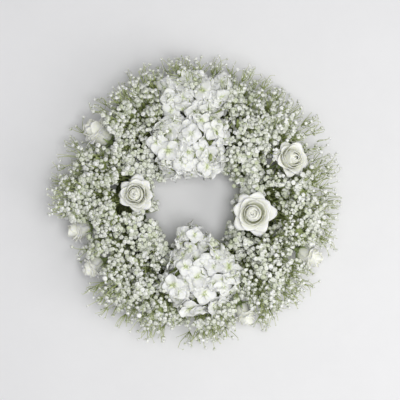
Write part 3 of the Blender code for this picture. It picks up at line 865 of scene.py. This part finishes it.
for head in heads:
    points, normals = points_on(head, FLORET_SPACING, chance)
    keep = uncovered(points, normals, head) & (normals[:, 2] > -0.55)
    keep &= ~met_by_roses(points, margin=0.002)
    points, normals = points[keep], normals[keep]
    count = len(points)
    depth = chance.uniform(-0.002, 0.011, count)
    places = points - normals * depth[:, None]
    ways = unit(normals + chance.normal(0, 0.36, normals.shape))
    turns = facing(ways, chance.uniform(0, 2 * np.pi, count))
    small = 0.72 if head == "hydrangea_inner_head" else 1.0
    sizes = chance.uniform(0.0165, 0.0215, count) * small
    highest = places[:, 2] + sizes * (LEVEL_RISE + np.sqrt(1 - ways[:, 2] ** 2))
    places[:, 2] -= np.maximum(0, highest - PETAL_TOP)
    kind = np.arange(count) % len(hydrangea_florets)
    pale = chance.normal(0, 0.08, count)
    parts = [
        copies(shape, turns[kind == i], places[kind == i], sizes[kind == i], pale[kind == i])
        for i, shape in enumerate(hydrangea_florets) if (kind == i).any()
    ]
    flowers = joined(parts)
    make_piece(f"{head}_florets", flowers, hydrangea_finish, "crown", [head])
    low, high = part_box(head)
    seat = np.array([(low.x + high.x) / 2, (low.y + high.y) / 2, low.z])
    near, forks = fork(places, 5, 0.016, seat)
    stalks = joined([
        twigs(forks[near], places, bowed(forks[near], places, 0.05), *STALK),
        twigs(np.broadcast_to(seat, forks.shape), forks, bowed(forks, forks + 0.01, 0.05),
              *LOW_STALK),
    ])
    make_piece(f"{head}_stalks", stalks, twig_finish, "crown")
    points, normals = points_on(head, BRACT_SPACING, chance)
    inside = uncovered(points, normals, head) & (normals[:, 2] > -0.4)
    bract_spots = (points - normals * chance.uniform(0.014, 0.022, (len(points), 1)))[inside]
    number = len(bract_spots)
    leans = unit(normals[inside] + chance.normal(0, 0.5, (number, 3)))
    turns = facing(leans, chance.uniform(0, 6, number))
    bracts = copies(sepal, turns, bract_spots, chance.uniform(0.008, 0.013, number),
                    chance.normal(-0.3, 0.2, number))
    make_piece(f"{head}_green_bracts", bracts, leaf_finish, "crown")
    print(head, "florets:", count, "triangles:", triangles(flowers), triangles(bracts))

# %% [markdown]
# ## Roses
#
# A garden rose is a spiral of petals. Each next petal stands 137.5 degrees round from the last,
# a little wider and more open, and the outer ones roll their lips back. One formula makes them
# all: a cup that goes from the flower's foot to its lip, of which each petal takes a slice.

# %% How the petals change
# How a petal changes from the heart (0) to the outside (1). The first six, a bud, close over each
# other; the next six make a cup; then come shoulders, and a skirt that rolls back.
FROM_HEART = [0.0, 0.12, 0.25, 0.40, 0.52, 0.70, 1.0]
BULGE = [0.20, 0.30, 0.38, 0.46, 0.54, 0.62, 0.68]  # widest, as a share of the rose's radius
FLARE = [-0.20, -0.27, -0.22, -0.08, 0.08, 0.28, 0.42]  # how far the lip turns out, likewise
# Height before the lip falls, as a share of the rose's length, and how far it then falls. The
# heart's petals rise past the top and fall again, so they close over it in a flat dome.
RISE = [1.22, 1.28, 1.27, 1.09, 0.97, 0.86, 0.74]
DROP = [0.35, 0.35, 0.30, 0.12, 0.10, 0.20, 0.30]
HALF_ANGLE = [130, 110, 95, 76, 64, 56, 50]  # degrees round the flower, to each side
POINTED = [0.06, 0.12, 0.18, 0.22, 0.26, 0.34, 0.42]  # how far the corners fall short
PETAL_TINT = [0.78, 0.80, 0.82, 0.86, 0.90, 0.95, 0.97]
print("highest rise and widest lip:", max(RISE), max(FLARE))

# %% Petals of one rose
GOLDEN_ANGLE = math.radians(137.5)
FOOT = 0.008  # metres from the neck to the foot of the petals
LIP, ROLL = 0.58, 0.88  # shares of the way up a petal where it turns out, and where it rolls
PETAL_THICKNESS = 0.0006  # metres


def rose_petals(rose, count=24, rows=13, columns=13):
    """All the petals of one rose, in its own frame: Z along the flower, its neck at the origin.

    q runs 0 to 1 from the heart to the outside, v 0 to 1 from foot to lip and u -1 to 1 across.
    The petal lies on a cup: radius = narrow + (bulge - narrow) sin(v 90deg)^0.75, and height =
    rise (1 - cos(v 90deg))^0.85. Past LIP the petal turns out by flare p^1.5 and falls by drop
    p^2, where p is the share of the rest of the way. The corners fall short, as v (1 - pointed
    |u|^k) is taken for v, with k going from 1.8 at the heart to 1.2 outside, so that the outer
    petals are pointed.
    Past ROLL the edge rolls back, and the middle of a petal stands out further than its sides.
    The heart stands a little aside of the middle, and the foot of the inner petals is greener
    than that of the outer ones.
    """
    q = np.linspace(0, 1, count)
    bulge, flare, rise, drop, half_angle, pointed, tone = [
        np.interp(q, FROM_HEART, table)[:, None, None]
        for table in (BULGE, FLARE, RISE, DROP, HALF_ANGLE, POINTED, PETAL_TINT)
    ]
    v0 = np.linspace(0.0, 1, rows)[None, :, None]
    u = np.linspace(-1, 1, columns)[None, None, :]
    v = v0 * (1 - pointed * np.abs(u) ** (1.8 - 0.6 * q[:, None, None]))
    length = rose.length - FOOT
    vary = chance.uniform(0.95, 1.05, (3, count, 1, 1))
    turn = (np.arange(count) * GOLDEN_ANGLE + chance.normal(0, 0.12, count))[:, None, None]
    wide = np.radians(half_angle) * (0.40 + 0.60 * np.sin(np.pi / 2 * np.clip(v0 * 1.5, 0, 1)))
    angle = turn + wide * u * vary[0]
    narrow = 0.0035 + 0.004 * q[:, None, None]
    bulge = rose.radius * bulge * vary[1]
    past = np.clip((v - LIP) / (1 - LIP), 0, 1)
    radius = narrow + (bulge - narrow) * np.sin(np.pi / 2 * v) ** 0.75
    radius = radius + rose.radius * flare * past**1.5
    height = length * (rise * vary[2] * (1 - np.cos(np.pi / 2 * v)) ** 0.85 - drop * past**2)
    wave, tilt = chance.uniform(0, 2 * np.pi, (count, 1, 1)), chance.normal(0, 0.05, (count, 1, 1))
    radius = radius * (1 + 0.035 * np.sin(3.1 * u + wave) * v**2 + 0.08 * (0.4 - u**2) * v)
    roll = np.clip((v - ROLL) / (1 - ROLL), 0, 1) ** 2 * np.clip(q * 6, 0, 1)[:, None, None]
    radius = radius + rose.radius * 0.04 * roll
    height = height - length * 0.035 * roll
    height = height + length * v**3 * (0.03 * np.sin(4.2 * u + 2 * wave) + tilt * u)
    height = height - length * 0.10 * pointed * u**4 * v**2
    radius = np.minimum(radius, rose.radius * 1.10)
    height = np.minimum(height, length)
    aside = rose.radius * 0.06 * np.clip(1 - q / 0.25, 0, 1)[:, None, None]
    loose = np.clip(q * 4, 0, 1)[:, None, None]
    drift = chance.normal(0, 0.025, (2, count, 1, 1)) * rose.radius * loose
    x = radius * np.cos(angle) - aside + drift[0] * v**2
    y = radius * np.sin(angle) - aside + drift[1] * v**2
    sheets = np.stack([x, y, FOOT + height], axis=3)
    foot = 0.34 + 0.38 * q[:, None, None]
    tint = tone * (foot + (1 - foot) * v) + 0.08 * past
    return thin_sheet(sheets, PETAL_THICKNESS, tint)


# %% Placing a rose
def place_rose(rose, shape):
    """The shape carried from the rose's own frame to its place in the crown."""
    across = np.cross(rose.hinge, rose.way)
    turn = np.stack([across, rose.hinge, rose.way], axis=1)
    return Shape(shape.points @ turn.T + rose.neck, shape.faces, shape.tint)


print("ways of the roses:", [rose.way.round(2).tolist() for rose in roses])

# %% [markdown]
# Under the petals sits the hip, a small green urn, and five narrow sepals that lie back against
# the petals' foot. They stay with the flower as it nods.

# %% The calyx
# In metres: (radius, radius, height, height, tint), as for a floret's rings
HIP_RINGS = np.array([
    (0.0016, 0.0016, -0.0034, -0.0034, 0.30),
    (0.0032, 0.0032, -0.0018, -0.0018, 0.35),
    (0.0030, 0.0030, 0.0006, 0.0006, 0.45),
    (0.0048, 0.0048, 0.0032, 0.0032, 0.55),
    (0.0056, 0.0056, 0.0062, 0.0062, 0.65),
    (0.0046, 0.0046, 0.0086, 0.0086, 0.60),
])


def calyx(rose, rows=9, columns=5):
    """A hip and five sepals.

    Along a sepal, s runs 0 to 1: the radius goes from 4.5 mm to 84% of the rose's, as sin(s
    90deg)^1.05. The height is 6.2 mm + 0.34 s^2 of the petals' length, less a curl of up to 1.6
    mm s^2. The half width is 3.4 mm (1 - s)^0.7 + 0.3 mm, and the sides hang by 1 mm.
    """
    s = np.linspace(0, 1, rows)[None, :, None]
    t = np.linspace(-1, 1, columns)[None, None, :]
    turn = (np.arange(5) * 2 * np.pi / 5 + chance.uniform(0, 1))[:, None, None]
    curl = chance.uniform(0.0, 1.0, (5, 1, 1))
    radius = 0.0045 + (rose.radius * 0.84 - 0.0045) * np.sin(np.pi / 2 * s) ** 1.05
    height = 0.0062 + (rose.length - FOOT) * 0.34 * s**2 - 0.0016 * curl * s**2
    half = 0.0034 * (1 - s) ** 0.7 + 0.0003
    along_x, along_y = np.cos(turn), np.sin(turn)
    off = half * t
    lift = -0.0010 * t**2
    x = radius * along_x - off * along_y
    y = radius * along_y + off * along_x
    sheets = np.stack([x, y, height + lift + 0 * x], axis=3)
    tint = 0.5 + 0.4 * s + 0 * x
    return joined([ringed(HIP_RINGS, 14), thin_sheet(sheets, PETAL_THICKNESS, tint)])


for rose in roses:
    petals = place_rose(rose, rose_petals(rose))
    make_piece(f"{rose.name}_petals", petals, rose_finish, rose.name,
               [f"{rose.name}_bloom"])
    green = place_rose(rose, calyx(rose))
    make_piece(f"{rose.name}_hip_and_sepals", green, calyx_finish, rose.name,
               [f"{rose.name}_calyx"])
    print(rose.name, "triangles:", triangles(petals), triangles(green))

# %% [markdown]
# ## Leaves
#
# A few rose leaves are tucked in between the sprays. A leaf is one folded, arching sheet with
# a saw-toothed edge. It is kept only where no rose touches it as it nods.

# %% Rose leaves
def leaves(count, rows=15, columns=7):
    """Leaves one unit long that start at the origin and run along +Y, their faces up.

    s runs 0 to 1 along a leaf and t -1 to 1 across. The half width is wide sin(pi s^0.8)^0.8 +
    0.012. At every second row the teeth take 12% off it, and set the edge back by 0.04. The
    sides rise by fold |x| with a slight wave, and the tip falls by droop s^2.
    """
    s = np.linspace(0.0, 1.0, rows)[None, :, None]
    t = np.linspace(-1, 1, columns)[None, None, :]
    wide, fold = chance.uniform(0.22, 0.30, (count, 1, 1)), chance.uniform(0.20, 0.50, (count, 1, 1))
    droop, wave = chance.uniform(0.05, 0.35, (count, 1, 1)), chance.uniform(0, 6, (count, 1, 1))
    teeth = 0.04 * (np.arange(rows)[None, :, None] % 2) * np.abs(t) ** 4
    half = wide * np.sin(np.pi * s**0.8) ** 0.8 * (1 - teeth * 3) + 0.012
    x = half * t
    y = s - teeth + 0 * wide
    z = fold * np.abs(x) - droop * s**2 + 0.02 * np.sin(9 * s + wave) * np.abs(t)
    tint = 0.75 - 0.35 * np.abs(t) + 0.25 * (np.abs(t) < 0.1) + 0 * x
    return np.stack([x, y, z], axis=3), tint


# (degrees round the crown, degrees round its section)
LEAF_SPOTS = np.radians([
    (8, 70), (20, 104), (-14, 60), (38, 75), (58, 100), (118, 118), (138, 60), (160, 75),
    (188, 112), (228, 105), (250, 60), (292, 75), (318, 105),
])
azimuths, sections = LEAF_SPOTS.T
places, outward = cloud(azimuths, sections, 0.019)
along_ring = np.stack([-np.sin(azimuths), np.cos(azimuths), 0 * azimuths], axis=1)
sheets, leaf_tint = leaves(len(places))
lengths = chance.uniform(0.022, 0.031, len(places))
swing = chance.uniform(-1.2, 1.2, (len(places), 1))
forward = unit(outward * 0.55 + along_ring * swing + np.cross(along_ring, outward) * 0.3)
upward = outward + [0, 0, 0.6]
upward = unit(upward - forward * (upward * forward).sum(axis=1)[:, None])
frames = np.stack([np.cross(forward, upward), forward, upward], axis=2)
laid = np.einsum("nij,nrcj->nrci", frames, sheets) * lengths[:, None, None, None]
laid = laid + places[:, None, None]
LEAF_TOP = 0.122  # metres that no leaf stands above
free = [not met_by_roses(leaf.reshape(-1, 3), margin=0.001).any()
        and leaf[..., 2].max() < LEAF_TOP
        and not any(within(leaf.reshape(-1, 3), head, 0.0).any() for head in heads)
        for leaf in laid]
laid, leaf_tint, places = laid[free], leaf_tint[free], places[free]
ring_spots = places * [1, 1, 0] / off_centre(places)[:, None] * RING_MIDDLE
ring_spots = ring_spots + [0, 0, RING_HEIGHT + 0.012]
make_piece("rose_leaves", thin_sheet(laid, 0.0004, leaf_tint), leaf_finish, "crown")
leafstalks = twigs(ring_spots, places, bowed(ring_spots, places, 0.06), 0.0011, 0.0007,
                   sides=6, rings=6)
make_piece("rose_leaf_stalks", leafstalks, twig_finish, "crown")
print("leaves:", len(places))

# %% [markdown]
# ## Moss
#
# The padding is bound with sheet moss. Its solid gives the shape; short blades all over it, most
# of them leaning over, give the shaggy look between the sprays.

# %% Moss blades
points, normals = points_on("core_padding", 0.0042, chance)
open_side = normals[:, 2] > -0.3
points, normals = points[open_side], normals[open_side]
count = len(points)
blade_ways = unit(normals + chance.normal(0, 0.75, normals.shape))
blade_ends = points + blade_ways * chance.uniform(0.003, 0.008, (count, 1))
blades = twigs(points - normals * 0.001, blade_ends, bowed(points, blade_ends, 0.12),
               0.0005, 0.00015, sides=3, rings=3)
moss_finish = finish(
    "moss_blades",
    [(0.0, (0.06, 0.08, 0.02)), (0.5, (0.14, 0.17, 0.05)), (1.0, (0.27, 0.32, 0.12))],
    roughness=0.8, grain=120, relief=0.0002,
)
make_piece("moss_blades", blades, moss_finish, "crown")
print("moss blades:", count)

# %% [markdown]
# ## The hidden ring
#
# The wire frame, the moss and the backing are already right in shape, so their solids stay and
# only get finishes: matted moss, green lacquered wire, plain steel and a felted backing.

# %% Finishes for the ring
def grained(name, dark, light, roughness, grain, relief, metallic=0.0):
    """A finish whose colour wanders between dark and light with a noise, which also raises it.

    The noise is dark below 0.35 and light above 0.65, with an even change between them.
    """
    made, tree, shader, noise = rough_material(name, roughness, grain, 8, 1.0, relief)
    shader.inputs["Metallic"].default_value = metallic
    noise.inputs["Roughness"].default_value = 0.7
    colour_ramp(tree, shader, noise.outputs["Fac"], [(0.35, dark), (0.65, light)])
    return made


RING_FINISHES = {
    "core_padding": grained("moss", (0.03, 0.04, 0.01), (0.16, 0.18, 0.07), 0.95, 220, 0.002),
    "backing_ring": grained("felt", (0.05, 0.08, 0.04), (0.09, 0.13, 0.07), 0.9, 900, 0.0004),
    "hoop": grained("steel_wire", (0.30, 0.31, 0.31), (0.48, 0.49, 0.48), 0.35, 300, 0.0001, 1.0),
    "binding_wire": grained("lacquer", (0.05, 0.09, 0.03), (0.09, 0.14, 0.06), 0.35, 500, 0.0001),
    "stem": grained("stem_green", (0.16, 0.22, 0.07), (0.32, 0.38, 0.16), 0.55, 180, 0.0004),
}
dressed = 0
for name, node in nodes.items():
    for key, material in RING_FINISHES.items():
        is_strap = key == "hoop" and name.startswith("frame_strap")
        if name == key or name.endswith(f"_{key}") or is_strap:
            for slot in node.material_slots:
                slot.material = material
            dressed += 1
print("solids with a new finish:", dressed)

# %% [markdown]
# ## Table, light and camera
#
# The crown lies on a pale matt surface, seen from straight above through a long lens. A wide soft
# light hangs almost overhead, a second one stands low at the right like a window, and an even sky
# fills the shadows.

# %% The table
table = bpy.data.meshes.new("table_top")
table.from_pydata([(-3, -3, 0), (3, -3, 0), (3, 3, 0), (-3, 3, 0)], [], [(0, 1, 2, 3)])
table_top = bpy.data.objects.new("table_top", table)
bpy.context.scene.collection.objects.link(table_top)
table.materials.append(
    grained("pale_plaster", (0.80, 0.80, 0.81), (0.83, 0.83, 0.84), 0.9, 3, 0.0002)
)
print("table top corners:", len(table.vertices))

# %% Light
scene = bpy.context.scene
scene.view_settings.view_transform = "Standard"
scene.world = bpy.data.worlds.new("bright_room")
scene.world.use_nodes = True
sky = scene.world.node_tree.nodes["Background"]
sky.inputs["Color"].default_value = (0.98, 0.98, 1.0, 1)
sky.inputs["Strength"].default_value = 0.30


def soft_light(name, place, target, size, power, colour):
    """A square soft light that looks at its target."""
    data = bpy.data.lights.new(name, "AREA")
    data.size, data.energy, data.color = size, power, colour
    light = bpy.data.objects.new(name, data)
    way = np.array(target) - np.array(place)
    light.location = place
    light.rotation_mode = "QUATERNION"
    light.rotation_quaternion = Vector(way).to_track_quat("-Z", "Y")
    scene.collection.objects.link(light)


soft_light("ceiling", (0.35, -0.15, 2.8), (0, 0, 0), 1.3, 46, (1.0, 1.0, 1.0))
soft_light("window", (1.5, -0.7, 1.5), (0, 0, 0), 1.2, 13, (1.0, 0.99, 0.97))
print("lights:", len(bpy.data.lights))

# %% Camera
VIEW_HEIGHT, FLOWER_HEIGHT = 2.4, 0.06  # metres over the table
VIEW_WIDTH = 0.672  # metres across the view, at the flowers' height
SENSOR_WIDTH = 36  # millimetres
lens = bpy.data.cameras.new("camera")
lens.sensor_width = SENSOR_WIDTH
lens.lens = SENSOR_WIDTH * (VIEW_HEIGHT - FLOWER_HEIGHT) / VIEW_WIDTH
camera = bpy.data.objects.new("camera", lens)
camera.location = (0.0076, 0.0034, VIEW_HEIGHT)
scene.collection.objects.link(camera)
scene.camera = camera
print("lens in mm:", round(lens.lens))
